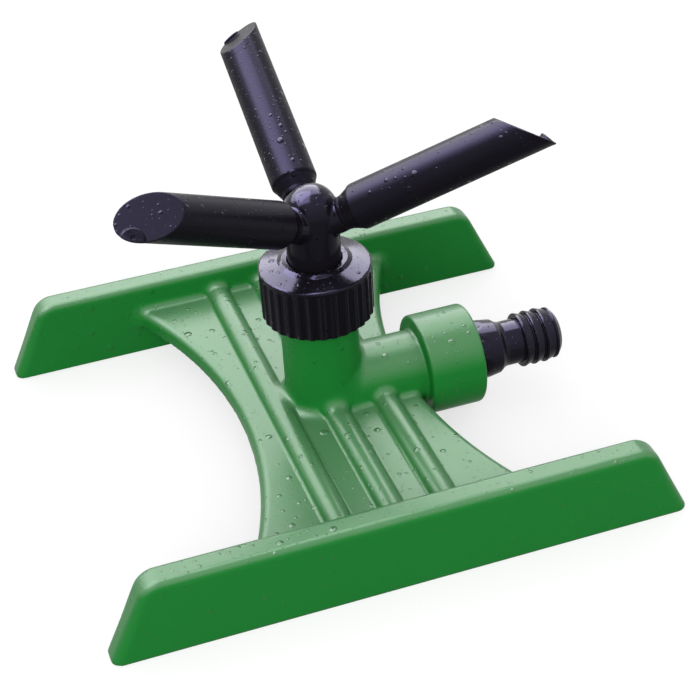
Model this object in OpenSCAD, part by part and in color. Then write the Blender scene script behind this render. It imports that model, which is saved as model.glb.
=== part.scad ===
// Three-arm lawn sprinkler on a sled base.
// Millimetres, Z up. X runs along the sleds towards the hose tail, and the origin lies on the
// rotor's axis at ground level. Water enters at the hose tail, climbs the tower, passes the
// hollow spindle into the rotor and leaves at the arms' ends, which turns the rotor clockwise.

/* [Sled base] */
// Length of each sled
sled_l = 205; // [195:1:230]
// Width over both sleds
base_w = 180; // [170:1:200]
// Width of one sled
sled_w = 10.5; // [9.5:0.5:13]
// Height of the sleds
sled_h = 30; // [28:0.5:34]
// Slant of the sleds' ends from upright, in degrees
sled_slant = 25.5; // [18:0.5:30]
// Radius of the top corners at the sleds' ends
sled_corner_r = 8; // [6:0.5:9]
// Radius along the sleds' top edges
sled_edge_r = 4.6; // [3.5:0.1:4.7]
// Wall of the sleds and of the deck's rim
base_wall = 2.5; // [2:0.1:3]
// Height of the deck's top above the ground
deck_z = 19.6; // [18.5:0.1:21]
// Height of the deck's rim
deck_rim_h = 6.4; // [5.5:0.1:8]
// Thickness of the deck's plate
deck_t = 3; // [2.5:0.1:4]
// Width of the deck at its waist
deck_waist = 64.5; // [62:0.5:72]
// Radius of the deck's concave edges in plan
deck_edge_r = 170; // [150:1:200]
// Rounding along the deck's top edge
deck_round = 3.5; // [2:0.1:4]
// Distance between the deck's ribs
rib_pitch = 18.75; // [17:0.25:20]
// Width of a rib at the deck
rib_w = 9.2; // [7:0.1:10]
// Height of a rib above the deck
rib_h = 3.9; // [2.5:0.1:4.2]
// Fillet where the deck meets a sled
sled_fillet = 4; // [2:0.5:5]

/* [Tower and inlet] */
// Diameter of the tower
tower_d = 28; // [26:0.5:29]
// Fillet at the tower's foot
tower_fillet = 4.5; // [2:0.5:6]
// Height of the inlet's axis above the ground
inlet_z = 21.1; // [20:0.1:23]
// Diameter of the inlet pipe
pipe_d = 27.6; // [26:0.2:28]
// Diameter of the inlet collar
collar_d = 37.6; // [34:0.2:39]
// Distance of the collar's mouth from the rotor's axis
collar_x = 57.3; // [54:0.1:62]
// Length of the collar
collar_l = 21.2; // [19:0.1:24]
// Bore of the inlet thread
inlet_thread_d = 26.6; // [25:0.1:28]
// Bore of the inlet pipe
pipe_bore_d = 16; // [12:0.5:17]
// Bore of the tower below its bush
tower_bore_d = 13; // [10:0.5:14]

/* [Hose tail] */
// Crest diameter of the hose barbs
barb_d = 20.6; // [19:0.1:22]
// Valley diameter between the barbs
barb_valley_d = 18.4; // [17:0.1:18.8]
// Distance from one barb to the next
barb_pitch = 4.2; // [3.8:0.1:5]
// Number of full barbs ahead of the end barb
barb_count = 3; // [2:1:4]
// Length of the plain land behind the barbs
land_l = 6.2; // [4:0.1:8]
// Diameter of the plain land
land_d = 17; // [16:0.1:17.6]
// Length of the taper that leaves the collar
taper_l = 10.1; // [8:0.1:12]
// Diameter of the hose tail's waterway
tail_bore_d = 13; // [10:0.5:13.5]
// Thickness of the inlet washer
inlet_washer_t = 2.5; // [1.5:0.1:3]

/* [Cap nut] */
// Diameter over the nut's ridges
nut_d = 40; // [39:0.5:44]
// Height of the nut's bottom edge above the ground
nut_z = 55.6; // [54:0.1:57]
// Height of the nut from its bottom edge to its rim
nut_h = 19.7; // [18.5:0.1:20.5]
// Rise of the nut's top from the rim to the collar round the stem
nut_crown = 1.9; // [1:0.1:2.5]
// Wall of the nut's top at its rim
nut_roof_t = 2.7; // [2:0.1:3.5]
// Number of flutes
flutes = 30; // [24:1:32]
// Depth of a flute
flute_depth = 0.9; // [0.5:0.1:1.2]
// Diameter of the threaded neck inside the nut
neck_d = 31; // [30:0.5:33]

/* [Rotor] */
// Diameter of the rotor's stem and dome
stem_d = 19; // [18.5:0.1:20]
// Wall of the rotor's stem
stem_wall = 3.5; // [3:0.1:4]
// Height at which the arms' axes meet
arm_z = 89.8; // [88.5:0.1:94]
// Height of the dome's centre above the arms' meeting point
dome_rise = 6.9; // [6:0.1:9]
// Direction of the first arm in plan, in degrees
arm_turn = -28.6; // [-60:0.1:60]
// Climb of the arms, in degrees
arm_climb = 28.9; // [25:0.1:34]
// Distance along an arm's axis to the centre of its end face
arm_l = 83.6; // [75:0.1:95]
// Diameter of an arm at its shoulder
arm_root_d = 16.6; // [16:0.1:18]
// Diameter of an arm at its end
arm_end_d = 16; // [15.6:0.1:17]
// Wall of an arm at its end
arm_wall = 1.5; // [1.2:0.1:1.9]
// Diameter of an arm's neck at the seam
neck_root_d = 12; // [11.6:0.1:13]
// Length of an arm's neck, from the seam to the shoulder
neck_l = 6.4; // [6:0.1:8]
// Angle between an arm's axis and the normal of its end face, in degrees
face_cut = 46; // [35:0.1:48]
// Turn of the end face about the arm's axis, in degrees
face_turn = 40; // [20:0.1:45]
// Thickness of the end cap
cap_t = 2.2; // [1.5:0.1:3]
// Diameter of the nozzle boss
boss_d = 8; // [6:0.1:9]
// Height of the nozzle boss
boss_h = 1.1; // [0.8:0.1:1.8]
// Diameter of the water jet's hole
jet_d = 1.5; // [1:0.1:2.2]

/* [Bearing] */
// Outer diameter of the spindle's tail
spindle_d = 14; // [13:0.1:15]
// Waterway of the spindle
spindle_bore_d = 9.6; // [8:0.1:10]
// Diameter of the spindle's flange
flange_d = 23.2; // [22:0.1:23.4]
// Thickness of the spindle's flange
flange_t = 2.6; // [2:0.1:3]
// Length of the bush below its flange
bush_l = 15.5; // [12:0.5:18]
// Wall of the bush
bush_wall = 1.95; // [1.5:0.05:2.2]
// Thickness of the thrust washers
washer_t = 1.3; // [1:0.1:1.6]
// Thickness of the gasket on the tower's rim
gasket_t = 1.8; // [1.2:0.1:2.4]

/* [Clearances] */
// Radial clearance of the running fits
running = 0.05; // [0.03:0.01:0.08]
// Radial clearance of pieces that sit in one another
seated = 0.03; // [0.02:0.01:0.05]
// Radial clearance where a moving piece only passes
passing = 0.4; // [0.3:0.05:0.6]
// Axial play of the spindle between its washers
play = 0.2; // [0.1:0.05:0.3]

/* [Hidden] */

$fn = 96;
over = 1;          // how far a cutter runs past what it cuts
arms = 3;
arm_step = 360 / arms;

// Sleds and deck
sled_in = base_w / 2 - sled_w;              // inner face of a sled
toe_h = 1.2;                                // height of the rounding under a sled's toe
toe_r = min(3, sled_w / 2 - 0.3);           // plan rounding of a sled's toe
deck_bottom = deck_z - deck_rim_h;
deck_under = deck_z - deck_t;

// Tower, inlet and nut, from the inside of the nut's roof downwards
tower_r = tower_d / 2;
pipe_r = pipe_d / 2;
tower_bottom = inlet_z - pipe_r + 1;
collar_x0 = collar_x - collar_l;
collar_edge = 0.8;
rim_z = nut_z + nut_h;                      // outer rim of the nut's top
roof_z = rim_z - nut_roof_t;                // underside of the nut's roof
tower_top = roof_z - gasket_t;
neck_z = nut_z + 1.4;
thread_l = 15.8;                            // depth of the inlet thread
thread_x = collar_x - thread_l;
washer_x = thread_x - inlet_washer_t;       // shoulder that the inlet washer lies on
flange_top = roof_z - washer_t - play;
flange_bottom = flange_top - flange_t;
washer_top = flange_bottom - play;
bush_top = washer_top - washer_t;
bush_flange_t = 1.5;
seat_z = bush_top - bush_flange_t;          // floor of the tower's counterbore
bush_bottom = seat_z - bush_l;
tail_bottom = bush_bottom + 0.5;
spindle_r = spindle_d / 2;
bush_in_r = spindle_r + running;
bush_out_r = bush_in_r + bush_wall;
bush_bore_r = bush_out_r + seated;
counter_r = flange_d / 2 + passing;
nut_r = nut_d / 2;
neck_r = neck_d / 2;
nut_bore_r = neck_r + running + seated;
flute_r = 2;
hole_r = stem_d / 2 + passing;              // hole in the nut's roof for the stem
crown_r = hole_r + 2.1;                     // collar round that hole
crown_step = 0.6;

// Rotor
stem_r = stem_d / 2;
stem_in_r = stem_r - stem_wall;
seam_s = stem_r + dome_rise * sin(arm_climb) + 0.4;  // the seam along an arm, clear of the dome
shank_r = stem_r - 1.6;                     // spindle's shank, bonded in the stem
shank_top = flange_top + 14.9;
dome_z = arm_z + dome_rise;
neck_root_r = neck_root_d / 2;
arm_root_r = arm_root_d / 2;
arm_end_r = arm_end_d / 2;
arm_bore_r = arm_end_r - arm_wall;
spigot_r = neck_root_r - 1.4;
shoulder_s = seam_s + neck_l;               // where the arm reaches its full diameter
spigot_s = shoulder_s + 4.9;                // end of the hub's spigot
spigot_bore_r = 2.9;
socket_s = spigot_s + 0.5;                  // bottom of the arm's socket
bead_s = shoulder_s - 2.6;                  // snap bead that holds the arm on its spigot
bead_w = 1.4;
bead_r = spigot_r + 0.5;
oring_s = shoulder_s + 1.2;
oring_r = 0.42;
groove_w = 1.6;
groove_r = spigot_r - 2 * oring_r - 2 * seated;
lip_l = 2;
lip_t = 1;
boss_at = [7.6, 5.2];                       // boss centre in the end face, towards its tip
jet_at = [7, 4.6];
jet_tilt = 30;
jet_lean = 37;                              // direction in the face in which the jet tilts
far = 200;

// Points of an arc round a centre, from angle a0 to a1
function arc(c, r, a0, a1, n = 8) =
    [for (i = [0 : n]) c + r * [cos(a0 + (a1 - a0) * i / n), sin(a0 + (a1 - a0) * i / n)]];

// Outline of a concave fillet in the corner of two walls, which reach into it by over
function fillet_outline(r) =
    concat([[-over, -over], [r, -over]], arc([r, r], r, 270, 180), [[-over, r]]);

module along_x() rotate([0, 90, 0]) children();
module along_y() rotate([-90, 0, 0]) children();

// A hollow cylinder from z0 to z1
module ring(ro, ri, z0, z1) {
    rotate_extrude() translate([ri, z0]) square([ro - ri, z1 - z0]);
}

// Flat wheel with a rounded rim, the top corner of a sled
module sled_corner() {
    rim_y = sled_w / 2 - sled_edge_r;
    along_y() rotate_extrude($fn = 32)
        for (s = [-1, 1]) translate([sled_corner_r - sled_edge_r, s * rim_y])
            intersection() {
                circle(r = sled_edge_r, $fn = 32);
                translate([sled_edge_r - sled_corner_r, -far / 2]) square([far, far]);
            }
}

// One sled, solid, with its top edges and slanted ends rounded
module sled_solid() {
    corner_z = sled_h - sled_corner_r;
    corner_x = sled_l / 2 - sled_corner_r / cos(sled_slant) - (corner_z - toe_h) * tan(sled_slant);
    toe_y = sled_w / 2 - toe_r;
    hull() for (s = [-1, 1]) {
        translate([s * corner_x, 0, corner_z]) sled_corner();
        for (t = [-1, 1]) {
            translate([s * (sled_l / 2 - toe_r), t * toe_y, toe_h])
                cylinder(r = toe_r, h = 0.4, $fn = 32);
            translate([s * (sled_l / 2 - toe_r - toe_h), t * toe_y, 0])
                cylinder(r = toe_r - 0.8, h = 0.2, $fn = 32);
        }
    }
}

// The channel that hollows a sled from below
module sled_channel() {
    top = sled_h - base_wall - 0.8;
    half = sled_l / 2 - 1.6 * base_wall;
    along_y() translate([0, 0, -(sled_w / 2 - base_wall)]) linear_extrude(sled_w - 2 * base_wall)
        polygon([[-half, over], [half, over], [half, 0], [half - top * tan(sled_slant), -top],
                 [top * tan(sled_slant) - half, -top], [-half, 0]]);
}

module sled(side) {
    translate([0, side * (base_w - sled_w) / 2, 0]) difference() {
        sled_solid();
        sled_channel();
    }
}

// Removes what lies beyond one concave edge of the deck, with the edge's rounded top
module deck_edge(inset = 0, round_top = deck_round) {
    r = deck_edge_r + inset;
    top = deck_z + sled_fillet + over;
    rotate_extrude($fn = 360) polygon(concat([[0, deck_bottom - over], [r, deck_bottom - over]],
        arc([r + round_top, deck_z - round_top], round_top, 180, 90), [[r + round_top, top], [0, top]]));
}

module deck_edges(inset = 0, round_top = deck_round) {
    for (s = [-1, 1]) translate([s * (deck_waist / 2 + deck_edge_r), 0, 0]) deck_edge(inset, round_top);
}

// Ribs across the deck, from sled to sled
module ribs() {
    r = (rib_w * rib_w / 4 + rib_h * rib_h) / (2 * rib_h);
    for (i = [-1 : 1]) translate([i * rib_pitch, -sled_in - over, deck_z + rib_h - r])
        along_y() cylinder(r = r, h = 2 * (sled_in + over));
}

// The deck between the sleds, hollow from below, with its ribs
module deck() {
    half = deck_waist;
    difference() {
        union() {
            difference() {
                union() {
                    translate([-half, -sled_in - over, deck_bottom])
                        cube([2 * half, 2 * (sled_in + over), deck_rim_h]);
                    for (s = [-1, 1]) scale([1, s, 1]) translate([-half, sled_in, deck_z])
                        rotate([90, 0, 90]) mirror([1, 0, 0])
                            linear_extrude(2 * half) polygon(fillet_outline(sled_fillet));
                }
                deck_edges();
            }
            ribs();
        }
        difference() {
            translate([-half, -sled_in + base_wall, deck_bottom - over])
                cube([2 * half, 2 * (sled_in - base_wall), deck_under - deck_bottom + over]);
            deck_edges(base_wall, 0.1);
        }
    }
}

// Tower with its threaded neck, the inlet pipe and the collar, all solid
module tower_and_inlet() {
    translate([0, 0, tower_bottom]) cylinder(r = tower_r, h = neck_z - tower_bottom);
    translate([0, 0, neck_z - over]) cylinder(r = neck_r, h = tower_top - neck_z + over);
    translate([0, 0, deck_z]) rotate_extrude()
        translate([tower_r, 0]) polygon(fillet_outline(tower_fillet));
    translate([0, 0, inlet_z]) along_x() {
        cylinder(r = pipe_r, h = collar_x0 + over);
        rotate_extrude() polygon(concat([[0, collar_x0]],
            arc([collar_d / 2 - collar_edge, collar_x0 + collar_edge], collar_edge, -90, 0, 4),
            arc([collar_d / 2 - collar_edge, collar_x - collar_edge], collar_edge, 0, 90, 4),
            [[0, collar_x]]));
    }
}

// The waterway and the seats in tower and collar
module base_bores() {
    translate([0, 0, inlet_z]) cylinder(r = tower_bore_d / 2, h = bush_bottom - inlet_z);
    translate([0, 0, bush_bottom - over]) cylinder(r = bush_bore_r, h = seat_z - bush_bottom + 2 * over);
    translate([0, 0, seat_z]) cylinder(r = counter_r, h = tower_top - seat_z + over);
    translate([0, 0, inlet_z]) along_x() {
        translate([0, 0, -tower_bore_d / 4]) cylinder(r = pipe_bore_d / 2, h = collar_x);
        translate([0, 0, washer_x]) cylinder(r = inlet_thread_d / 2, h = collar_x - washer_x + over);
    }
}

module base() {
    color([0.10, 0.53, 0.19]) difference() {
        union() {
            for (s = [-1, 1]) sled(s);
            deck();
            tower_and_inlet();
        }
        base_bores();
    }
}

// Barbed hose tail: thread, taper, groove, land, full barbs and a rounded end barb
module inlet_nipple() {
    crest = barb_d / 2;
    valley = barb_valley_d / 2;
    flat = 1;
    groove_x = collar_x + taper_l;
    barb_x = groove_x + 3.1 + land_l;
    end_x = barb_x + barb_count * barb_pitch;
    tip_x = end_x + 2.9;
    outline = concat(
        [[tail_bore_d / 2, thread_x], [inlet_thread_d / 2 - seated, thread_x],
         [inlet_thread_d / 2 - seated, collar_x - 0.5], [11.7, collar_x - 0.5], [11.7, collar_x],
         [11.1, collar_x + 0.42 * taper_l], [10.2, groove_x], [land_d / 2 + 0.4, groove_x + 1.8],
         [land_d / 2, groove_x + 3.1]],
        [for (i = [0 : barb_count - 1]) let (x = barb_x + i * barb_pitch)
            each [[i == 0 ? land_d / 2 : valley, x], [crest, x + 0.1], [crest, x + flat],
                  [valley, x + barb_pitch]]],
        [[valley, end_x], [crest - 0.5, end_x + 0.1], [crest - 0.6, end_x + flat]],
        arc([valley - 2, tip_x - 1.9], 2, 20, 90, 5),
        [[tail_bore_d / 2, tip_x + 0.1]]);
    color([0.12, 0.12, 0.13]) translate([0, 0, inlet_z]) along_x() rotate_extrude() polygon(outline);
}

module inlet_washer() {
    color([0.25, 0.25, 0.25]) translate([0, 0, inlet_z]) along_x()
        ring(inlet_thread_d / 2 - 0.3, tail_bore_d / 2 + 1.5, washer_x, thread_x);
}

// Fluted nut that holds the spindle's flange down on the tower
module cap_nut() {
    edge = 0.6;
    outline = concat([[nut_bore_r, nut_z], [nut_r - edge, nut_z], [nut_r, nut_z + edge]],
        arc([nut_r - edge, rim_z - edge], edge, 0, 70, 4),
        [[crown_r, rim_z + nut_crown], [crown_r, rim_z + nut_crown + crown_step],
         [hole_r, rim_z + nut_crown + crown_step], [hole_r, roof_z], [nut_bore_r, roof_z]]);
    color([0.12, 0.12, 0.14]) difference() {
        rotate_extrude() polygon(outline);
        for (i = [0 : flutes - 1]) rotate(i * 360 / flutes)
            translate([nut_r + flute_r - flute_depth, 0, nut_z - over])
                cylinder(r = flute_r, h = nut_h - 1.2 + over, $fn = 24);
    }
}

module nut_gasket() {
    color([0.3, 0.3, 0.3]) ring(neck_r - 0.3, counter_r + 0.3, tower_top, roof_z);
}

// Bearing bush with its flange on the counterbore's floor
module tower_bush() {
    color([0.85, 0.85, 0.8]) rotate_extrude() polygon([
        [bush_in_r, bush_bottom], [bush_out_r, bush_bottom], [bush_out_r, seat_z],
        [counter_r - 0.1, seat_z], [counter_r - 0.1, bush_top], [bush_in_r, bush_top]]);
}

module lower_thrust_washer() {
    color([0.9, 0.9, 0.9]) ring(flange_d / 2, spindle_r + 0.3, bush_top, washer_top);
}

module upper_thrust_washer() {
    color([0.9, 0.9, 0.9]) ring(flange_d / 2, hole_r, roof_z - washer_t, roof_z);
}

// Hollow spindle: tail with a seal groove, flange and the shank that holds the rotor
module spindle() {
    seal_z = bush_bottom + 4;
    floor_r = spindle_r - 1;
    color([0.8, 0.8, 0.78]) rotate_extrude() polygon([
        [spindle_bore_d / 2, tail_bottom], [spindle_r - 0.4, tail_bottom],
        [spindle_r, tail_bottom + 0.4], [spindle_r, seal_z - 0.7], [floor_r, seal_z - 0.7],
        [floor_r, seal_z + 0.7], [spindle_r, seal_z + 0.7], [spindle_r, flange_bottom],
        [flange_d / 2, flange_bottom], [flange_d / 2, flange_top], [shank_r, flange_top],
        [shank_r, shank_top], [spindle_bore_d / 2, shank_top]]);
}

module spindle_oring() {
    color([0.1, 0.1, 0.1]) translate([0, 0, bush_bottom + 4]) rotate_extrude()
        translate([spindle_r - 0.48, 0]) circle(r = 0.5, $fn = 32);
}

// Places children at arm i, with X along the arm
module at_arm(i) {
    translate([0, 0, arm_z]) rotate([0, 0, arm_turn + arm_step * i]) rotate([0, -arm_climb, 0])
        children();
}

// Places children on an arm's end face, with Z outwards and X towards its tip
module at_face() {
    translate([arm_l, 0, 0]) rotate([-face_turn, 0, 0]) rotate([0, 90 - face_cut, 0]) children();
}

// Domed stem with a boss and a spigot for each arm
module rotor_hub() {
    color([0.12, 0.12, 0.14]) difference() {
        union() {
            rotate_extrude() polygon(concat([[0, flange_top], [stem_r, flange_top]],
                arc([0, dome_z], stem_r, 0, 90, 24)));
            for (i = [0 : arms - 1]) at_arm(i) along_x() {
                cylinder(r = neck_root_r, h = seam_s);
                cylinder(r = spigot_r, h = spigot_s);
                ring(bead_r, spigot_r - over, bead_s, bead_s + bead_w);
            }
        }
        translate([0, 0, flange_top - over]) cylinder(r = shank_r + seated, h = shank_top - flange_top + over);
        rotate_extrude() polygon(concat([[0, shank_top - over], [stem_in_r, shank_top - over]],
            arc([0, dome_z], stem_in_r, 0, 90, 16)));
        for (i = [0 : arms - 1]) at_arm(i) along_x() {
            translate([0, 0, 3]) cylinder(r = spigot_bore_r, h = spigot_s);
            ring(spigot_r + over, groove_r, oring_s - groove_w / 2, oring_s + groove_w / 2);
        }
    }
}

// Outer form of an arm along its axis: neck, shoulder and slightly tapered tube
module arm_form() {
    end = arm_l + arm_root_r * tan(face_cut) + over;
    along_x() rotate_extrude() polygon([[0, seam_s], [neck_root_r, seam_s],
        [neck_root_r + 0.2, shoulder_s - 4.9], [arm_root_r - 0.6, shoulder_s - 1.7],
        [arm_root_r - 0.15, shoulder_s - 0.9], [arm_root_r, shoulder_s], [arm_end_r, end], [0, end]]);
}

// Everything on the inner side of a plane that lies depth under the end face
module inside_face(depth) {
    at_face() translate([-far / 2, -far / 2, -far - depth]) cube([far, far, far]);
}

module arm(i) {
    color([0.12, 0.12, 0.14]) at_arm(i) difference() {
        intersection() {
            arm_form();
            inside_face(cap_t);
        }
        along_x() translate([0, 0, seam_s - over]) cylinder(r = spigot_r + seated, h = socket_s - seam_s + over);
        along_x() ring(bead_r + seated, spigot_r - over, bead_s - seated, bead_s + bead_w + seated);
        along_x() translate([0, 0, socket_s - 0.1]) cylinder(r = arm_bore_r, h = far);
    }
}

module arm_seal(i) {
    color([0.1, 0.1, 0.1]) at_arm(i) along_x() translate([0, 0, oring_s]) rotate_extrude()
        translate([spigot_r - oring_r, 0]) circle(r = oring_r, $fn = 32);
}

// Raised round boss on the end face, trimmed to the arm's outline
module nozzle_boss() {
    r = boss_d / 2;
    edge = boss_h - 0.1;
    intersection() {
        arm_form();
        at_face() translate([boss_at[0], boss_at[1], 0]) rotate_extrude() polygon(concat(
            [[0, -over], [r, -over], [r, 0.1]], arc([r - edge, 0.1], edge, 0, 90, 6), [[0, boss_h]]));
    }
}

// Oblique end cap: plate, locating lip, boss and the hole for the jet
module arm_cap(i) {
    color([0.12, 0.12, 0.14]) at_arm(i) difference() {
        union() {
            difference() {
                intersection() {
                    arm_form();
                    inside_face(0);
                }
                inside_face(cap_t);
            }
            difference() {
                intersection() {
                    along_x() translate([0, 0, socket_s]) cylinder(r = arm_bore_r - seated, h = far);
                    inside_face(cap_t - 0.1);
                }
                inside_face(cap_t + lip_l);
                along_x() translate([0, 0, socket_s - over]) cylinder(r = arm_bore_r - lip_t, h = far);
            }
            nozzle_boss();
        }
        at_face() translate([jet_at[0], jet_at[1], boss_h]) rotate([0, 0, jet_lean]) rotate([0, jet_tilt, 0])
            translate([0, 0, -cap_t - lip_l - boss_h]) cylinder(r = jet_d / 2, h = 4 * cap_t);
    }
}

module arm_1() arm(0);
module arm_2() arm(1);
module arm_3() arm(2);
module arm_seal_1() arm_seal(0);
module arm_seal_2() arm_seal(1);
module arm_seal_3() arm_seal(2);
module arm_cap_1() arm_cap(0);
module arm_cap_2() arm_cap(1);
module arm_cap_3() arm_cap(2);

base();
inlet_nipple();
inlet_washer();
cap_nut();
nut_gasket();
tower_bush();
lower_thrust_washer();
upper_thrust_washer();
spindle();
spindle_oring();
rotor_hub();
arm_1();
arm_2();
arm_3();
arm_seal_1();
arm_seal_2();
arm_seal_3();
arm_cap_1();
arm_cap_2();
arm_cap_3();
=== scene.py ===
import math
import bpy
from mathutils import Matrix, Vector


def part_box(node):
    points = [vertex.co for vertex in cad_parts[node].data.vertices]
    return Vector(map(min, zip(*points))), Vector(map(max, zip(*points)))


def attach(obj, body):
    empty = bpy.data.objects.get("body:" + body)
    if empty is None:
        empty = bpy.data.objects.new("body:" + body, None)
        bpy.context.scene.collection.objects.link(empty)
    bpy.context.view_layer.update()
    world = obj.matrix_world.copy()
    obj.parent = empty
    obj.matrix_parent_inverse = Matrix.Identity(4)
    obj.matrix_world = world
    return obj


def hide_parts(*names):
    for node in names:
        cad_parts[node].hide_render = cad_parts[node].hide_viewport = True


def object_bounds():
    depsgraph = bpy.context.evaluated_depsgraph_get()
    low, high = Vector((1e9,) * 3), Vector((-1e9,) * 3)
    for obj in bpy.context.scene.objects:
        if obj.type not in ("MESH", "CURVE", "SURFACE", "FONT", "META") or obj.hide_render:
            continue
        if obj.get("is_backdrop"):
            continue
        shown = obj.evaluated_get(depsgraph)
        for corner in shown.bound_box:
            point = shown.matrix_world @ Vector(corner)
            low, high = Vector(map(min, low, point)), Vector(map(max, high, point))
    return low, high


bl_info = {
    "name": "Three-arm Lawn Sprinkler",
    "version": (1, 0, 0),
    "blender": (4, 5, 0),
    "location": "3D View > Sidebar > Sprinkler",
    "description": "Dresses the wet sled sprinkler: moulded base, fluted nut, rotor, hose tail and studio",
    "category": "Object",
}

import bpy
import numpy as np
from mathutils import Matrix, Vector

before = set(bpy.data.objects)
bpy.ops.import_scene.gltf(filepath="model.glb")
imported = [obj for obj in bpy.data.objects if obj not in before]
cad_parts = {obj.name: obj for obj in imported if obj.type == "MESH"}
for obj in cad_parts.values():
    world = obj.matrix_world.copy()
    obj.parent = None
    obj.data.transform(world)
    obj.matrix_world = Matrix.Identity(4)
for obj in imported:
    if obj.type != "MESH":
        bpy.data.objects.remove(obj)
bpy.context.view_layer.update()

MM = 0.001

# Sizes of the forms in millimetres, angles in radians.
# The sleds: their edges are rounded by SLED_EDGE below and tighter above.
SLED_W = 10.5
SLED_H = 30.0
SLED_SLANT = math.radians(25.5)
SLED_LIP_H = 1.2
SLED_CORNER = 4.8
SLED_EDGE = 3.4
SLED_EDGE_LESS = 0.7
SLED_EDGE_Z = 12
SLED_FILLET = 3.4
SOLE_EDGE = 0.6
CHANNEL_HALF = 2.75
CHANNEL_ROOF = 3.3
CHANNEL_END = 4.5

# The deck, with its two arcs and three ribs
DECK_Z = 19.6
DECK_WAIST = 64.5
DECK_ARC_R = 170
DECK_EDGE = 3.5
DECK_RIM_H = 6.4
DECK_RIM_EDGE = 0.5
DECK_WALL = 2.5
DECK_T = 3
RIB_PITCH = 18.75
RIB_W = 9.2
RIB_H = 3.9
RIB_FOOT = 4

# Tower, inlet pipe and collar
INLET_Z = 21.1
TOWER_R = 14.0
TOWER_FOOT = 12.8
TOWER_HEAD = 18.6
NECK_R = 15.3
NECK_STEP = 1.6
PIPE_R = 13.8
PIPE_L = 40.0
COLLAR_R = 18.8
COLLAR_BACK = 36.1
COLLAR_X = 57.3
THREAD_R = 13.4
THREAD_X = 39.0
WATERWAY_R = 8.0
WATERWAY_BACK = -3.2
WATERWAY_FRONT = 60.0
TOWER_BORE_R = 6.5
BUSH_SEAT_R = 9.2
BUSH_GAP = 0.2
BUSH_GAP_LOW = 0.3
BUSH_RECESS = 2.9

# Stem and arms; lengths ending in _S run along an arm from the rotor's axis
ARM_Z = 89.8
DOME_RISE = 6.9
STEM_R = 9.5
SHANK_R = 7.95
ARM_CLIMB = math.radians(28.9)
ARM_TURN = math.radians(-28.6)
ARM_L = 83.6
ARM_NECK_R = 6.0
ARM_ROOT_R = 8.3
ARM_END_R = 8.0
SEAM_S = STEM_R + DOME_RISE * math.sin(ARM_CLIMB) + 0.4
SEAM_GAP = 0.08
SHOULDER_S = SEAM_S + 6.4
SPIGOT_S = SHOULDER_S + 4.9
SPIGOT_R = 4.55
GROOVE_R = 3.6
SOCKET_R = 4.72
BEAD_R = 5.3
ARM_EDGE = 0.3
NECK_FILLET = 0.7
# Where the seal's groove and the snap bead start and end, from the shoulder
GROOVE_FROM, GROOVE_TO = 0.3, 2.1
BEAD_FROM, BEAD_TO = -2.8, -1.0

# The oblique end caps, with the nozzle boss and the dimple of the jet. The tube laps into its cap
# and is a little thinner from just before the cap, which shows the seam.
FACE_CUT = math.radians(46.0)
FACE_TURN = math.radians(40.0)
CAP_T = 2.2
CAP_LAP = 0.9
CAP_SEAM_L = 0.4
CAP_SEAM_IN = 0.035
BOSS_AT = (7.6, 5.2)
BOSS_R = 4.0
BOSS_H = 1.5
BOSS_EDGE = 0.7
BOSS_WAY = (0.826, 0.564)
BOSS_IN = 5.2
BOSS_SLOPE = 0.33
JET_AT = (7.0, 4.6)
JET_R = 0.6
JET_DEPTH = 0.3

# The cap nut
NUT_R = 20.0
NUT_BORE_R = 15.7
NUT_HOLE_R = 9.65
NUT_EDGE = 0.5
NUT_RING_H = 2.5
NUT_ROOF = 2.7
FLUTES = 30
FLUTE_R = 2.0
FLUTE_AWAY = 21.22
FLUTE_TOP = 2.9
FLUTE_EDGE = 0.22

# The hose tail
TAIL_BORE_R = 6.5
TAIL_THREAD_R = 13.2
TAIL_FACE_R = 11.7
TAIL_NECK_R = 8.5
BARBS = 3
BARB_R = 10.3
BARB_FOOT_R = 9.2
BARB_PITCH = 4.2
FLATS = 8
FLATS_R = 10.95


def low(node):
    """Lowest corner of a node in millimetres."""
    return [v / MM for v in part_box(node)[0]]


def high(node):
    """Highest corner of a node in millimetres."""
    return [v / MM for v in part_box(node)[1]]


# Settings


class SprinklerPlastic(bpy.types.PropertyGroup):
    """Colours and gloss of the two mouldings and the water on them."""

    base_green: bpy.props.FloatVectorProperty(
        name="Base Green", description="Colour of the sled base", subtype="COLOR", size=3,
        min=0, max=1, default=(0.012, 0.178, 0.028))
    part_black: bpy.props.FloatVectorProperty(
        name="Part Black", description="Colour of nut, rotor and hose tail", subtype="COLOR", size=3,
        min=0, max=1, default=(0.0068, 0.0060, 0.0085))
    green_roughness: bpy.props.FloatProperty(
        name="Green Roughness", description="Roughness of the green moulding between the drops",
        min=0, max=1, default=0.3, subtype="FACTOR")
    black_roughness: bpy.props.FloatProperty(
        name="Black Roughness", description="Roughness of the black mouldings between the drops",
        min=0, max=1, default=0.15, subtype="FACTOR")
    drop_size: bpy.props.FloatProperty(
        name="Drop Size", description="Width of the larger water drops", default=0.0035,
        min=0.0005, max=0.006, subtype="DISTANCE", unit="LENGTH")
    drop_cover: bpy.props.FloatProperty(
        name="Drop Cover", description="Share of the surface that carries drops",
        min=0, max=1, default=0.27, subtype="FACTOR")
    # Painted sheen: how strongly a pale colour is laid on the green faces turned up, which stands in for the
    # pale reflection on their tops
    painted_top_sheen: bpy.props.FloatProperty(
        name="Painted Top Sheen", description="Strength of the fine mist that pales the green faces turned up",
        min=0, max=1, default=0.12, subtype="FACTOR")


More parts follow.
